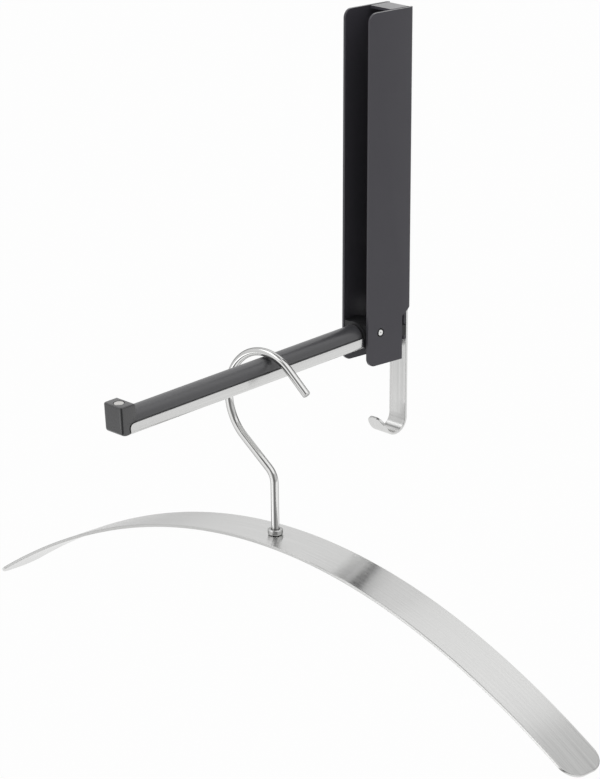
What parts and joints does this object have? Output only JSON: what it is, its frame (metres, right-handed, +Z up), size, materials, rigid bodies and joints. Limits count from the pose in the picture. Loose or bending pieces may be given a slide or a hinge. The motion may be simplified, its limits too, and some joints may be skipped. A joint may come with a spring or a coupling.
{
  "type": "wall hook",
  "caption": "Fold-down wall hook: sheet channel with a hinged arm that nests in it, a J hook below, and a coat hanger with a bent strip blade on the arm.",
  "frame": {"origin": "on the wall plane, at the middle of the channel's height and width", "axes": "+X to the right along the wall seen from the room, +Y into the wall, +Z up"},
  "size_m": [0.4517, 0.2108, 0.3634],
  "materials": {
    "black_paint": "satin",
    "black_plastic": "satin",
    "brushed_strip": "brushed",
    "bright_steel": "polished"
  },
  "bodies": {
    "wall_bracket": {"wall_channel": "black_paint", "hook_strip": "brushed_strip", "strip_rivet_upper": "bright_steel", "strip_rivet_lower": "bright_steel", "pivot_pin": "bright_steel"},
    "folding_arm": {"hinge_block": "black_plastic", "arm_profile": "brushed_strip", "arm_cover": "black_plastic", "end_cap": "black_plastic", "magnet": "bright_steel"},
    "hanger_hook": {"hook_wire": "bright_steel", "hook_collar": "bright_steel", "hook_washer": "bright_steel"},
    "hanger_shoulders": {"hanger_blade": "brushed_strip"}
  },
  "joints": [
    {"name": "arm_fold", "type": "hinge", "parent": "wall_bracket", "child": "folding_arm", "pos_m": [0, -0.02525, -0.0813], "axis": [-1, 0, 0], "range_deg": [0, 93.7]},
    {"name": "hanger_take_off", "type": "slide", "parent": "folding_arm", "child": "hanger_hook", "axis": [0, -1, 0], "range_m": [0, 0.12]},
    {"name": "hook_swivel", "type": "hinge", "parent": "hanger_hook", "child": "hanger_shoulders", "pos_m": [0.00745, -0.10216, -0.18276], "axis": [-0.0185, -0.001, 0.9998], "continuous": true}
  ],
  "couplings": [
    {"joint": "hanger_take_off", "follows": "arm_fold", "m_per_rad": 0.07337}
  ]
}
